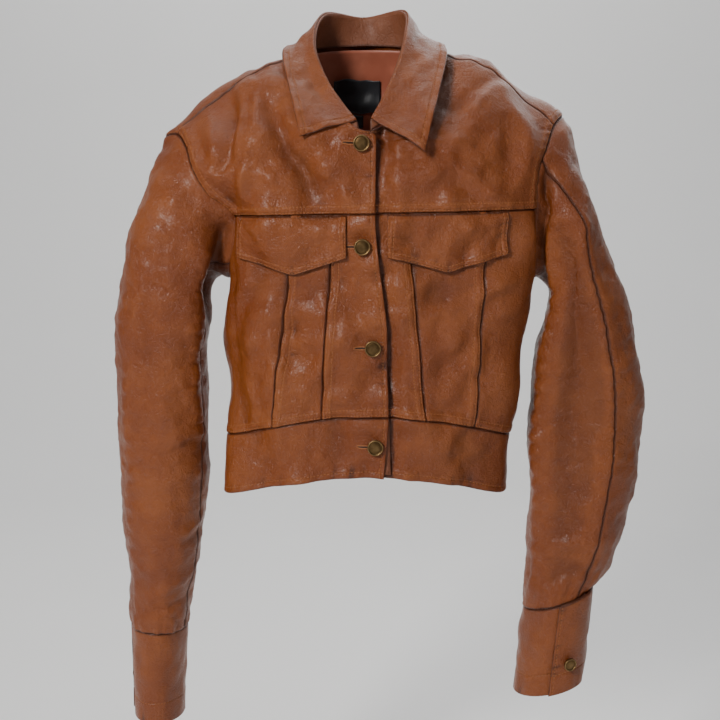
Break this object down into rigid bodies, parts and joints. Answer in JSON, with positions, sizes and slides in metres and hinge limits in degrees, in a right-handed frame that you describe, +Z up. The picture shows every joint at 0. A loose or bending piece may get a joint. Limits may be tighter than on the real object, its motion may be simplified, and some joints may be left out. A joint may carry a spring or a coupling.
{
  "type": "leather riding jacket",
  "caption": "Cropped leather riding jacket, buttoned and hanging, with pointed collar, chest flap pockets, panelled front, waistband, set-in sleeves and buttoned cuffs.",
  "frame": {"origin": "where a hook or hanger neck carries the jacket, at the middle of the back neck, about level with the top of the back yoke", "axes": "+Z up along the hanging jacket, -Y the way its front faces, +X to the wearer's left"},
  "size_m": [0.5857, 0.1862, 0.7953],
  "materials": {
    "leather": "smooth cognac leather, semi-gloss, fine grain",
    "facing_leather": "inner leather, matt",
    "lining": "red-brown satin lining",
    "brass": "antique brass, brushed and worn",
    "label": "black woven satin, plain"
  },
  "bodies": {
    "torso": {"back_lining": "lining", "back_panel_center": "leather", "back_panel_left": "leather", "back_panel_right": "leather", "back_waistband": "leather", "back_yoke": "leather", "back_yoke_lining": "lining", "collar_back": "leather", "collar_stand": "leather", "front_button_1_tack": "brass", "front_button_2_tack": "brass", "front_button_3_tack": "brass", "front_button_4_tack": "brass", "left_facing": "facing_leather", "left_front_lining": "lining", "left_front_panel_center": "leather", "left_front_panel_middle": "leather", "left_front_panel_side": "leather", "left_front_yoke": "leather", "left_pocket_bag": "lining", "left_waistband": "leather", "left_yoke_lining": "lining", "neck_label": "label", "right_facing": "facing_leather", "right_front_lining": "lining", "right_front_panel_center": "leather", "right_front_panel_middle": "leather", "right_front_panel_side": "leather", "right_front_yoke": "leather", "right_pocket_bag": "lining", "right_waistband": "leather", "right_yoke_lining": "lining", "size_tab": "label"},
    "right_sleeve": {"right_cuff": "leather", "right_cuff_button_tack": "brass", "right_sleeve_lining": "lining", "right_sleeve_top": "leather", "right_sleeve_under": "leather"},
    "left_sleeve": {"left_cuff": "leather", "left_cuff_button_tack": "brass", "left_sleeve_lining": "lining", "left_sleeve_top": "leather", "left_sleeve_under": "leather"},
    "right_flap": {"right_pocket_flap": "leather"},
    "left_flap": {"left_pocket_flap": "leather"},
    "right_collar": {"collar_leaf_right": "leather"},
    "left_collar": {"collar_leaf_left": "leather"},
    "front_button_1": {"front_button_1": "brass"},
    "front_button_2": {"front_button_2": "brass"},
    "front_button_3": {"front_button_3": "brass"},
    "front_button_4": {"front_button_4": "brass"},
    "right_cuff_button": {"right_cuff_button": "brass"},
    "left_cuff_button": {"left_cuff_button": "brass"}
  },
  "joints": [
    {"name": "right_sleeve_swing", "type": "hinge", "parent": "torso", "child": "right_sleeve", "pos_m": [-0.213, 0, -0.105], "axis": [0, 1, 0], "range_deg": [0, 70]},
    {"name": "left_sleeve_swing", "type": "hinge", "parent": "torso", "child": "left_sleeve", "pos_m": [0.211, 0, -0.084], "axis": [0, -1, 0], "range_deg": [0, 70]},
    {"name": "right_flap_lift", "type": "hinge", "parent": "torso", "child": "right_flap", "pos_m": [-0.089, -0.0805, -0.189], "axis": [-0.9504, 0.3108, -0.0105], "range_deg": [0, 110]},
    {"name": "left_flap_lift", "type": "hinge", "parent": "torso", "child": "left_flap", "pos_m": [0.08, -0.091, -0.1855], "axis": [-0.9906, -0.1357, -0.0142], "range_deg": [0, 110]},
    {"name": "right_collar_lift", "type": "hinge", "parent": "torso", "child": "right_collar", "pos_m": [-0.031, -0.057, -0.0555], "axis": [-0.4822, 0.5263, 0.7004], "range_deg": [0, 60]},
    {"name": "left_collar_lift", "type": "hinge", "parent": "torso", "child": "left_collar", "pos_m": [0.0245, -0.0575, -0.0505], "axis": [-0.3868, -0.5018, -0.7737], "range_deg": [0, 60]},
    {"name": "front_button_1_turn", "type": "hinge", "parent": "torso", "child": "front_button_1", "pos_m": [-0.00354, -0.0809, -0.112], "axis": [0, -1, 0], "continuous": true},
    {"name": "front_button_2_turn", "type": "hinge", "parent": "torso", "child": "front_button_2", "pos_m": [-0.00265, -0.0875, -0.2175], "axis": [0, -1, 0], "continuous": true},
    {"name": "front_button_3_turn", "type": "hinge", "parent": "torso", "child": "front_button_3", "pos_m": [0.00849, -0.088, -0.323], "axis": [0, -1, 0], "continuous": true},
    {"name": "front_button_4_turn", "type": "hinge", "parent": "torso", "child": "front_button_4", "pos_m": [0.01118, -0.088, -0.4285], "axis": [0, -1, 0], "continuous": true},
    {"name": "right_cuff_button_turn", "type": "hinge", "parent": "right_sleeve", "child": "right_cuff_button", "pos_m": [-0.259, 0.0179, -0.7258], "axis": [-0.8782, 0.4782, -0.0129], "continuous": true},
    {"name": "left_cuff_button_turn", "type": "hinge", "parent": "left_sleeve", "child": "left_cuff_button", "pos_m": [0.2273, -0.0395, -0.6875], "axis": [0.3452, -0.9364, -0.0631], "continuous": true}
  ]
}
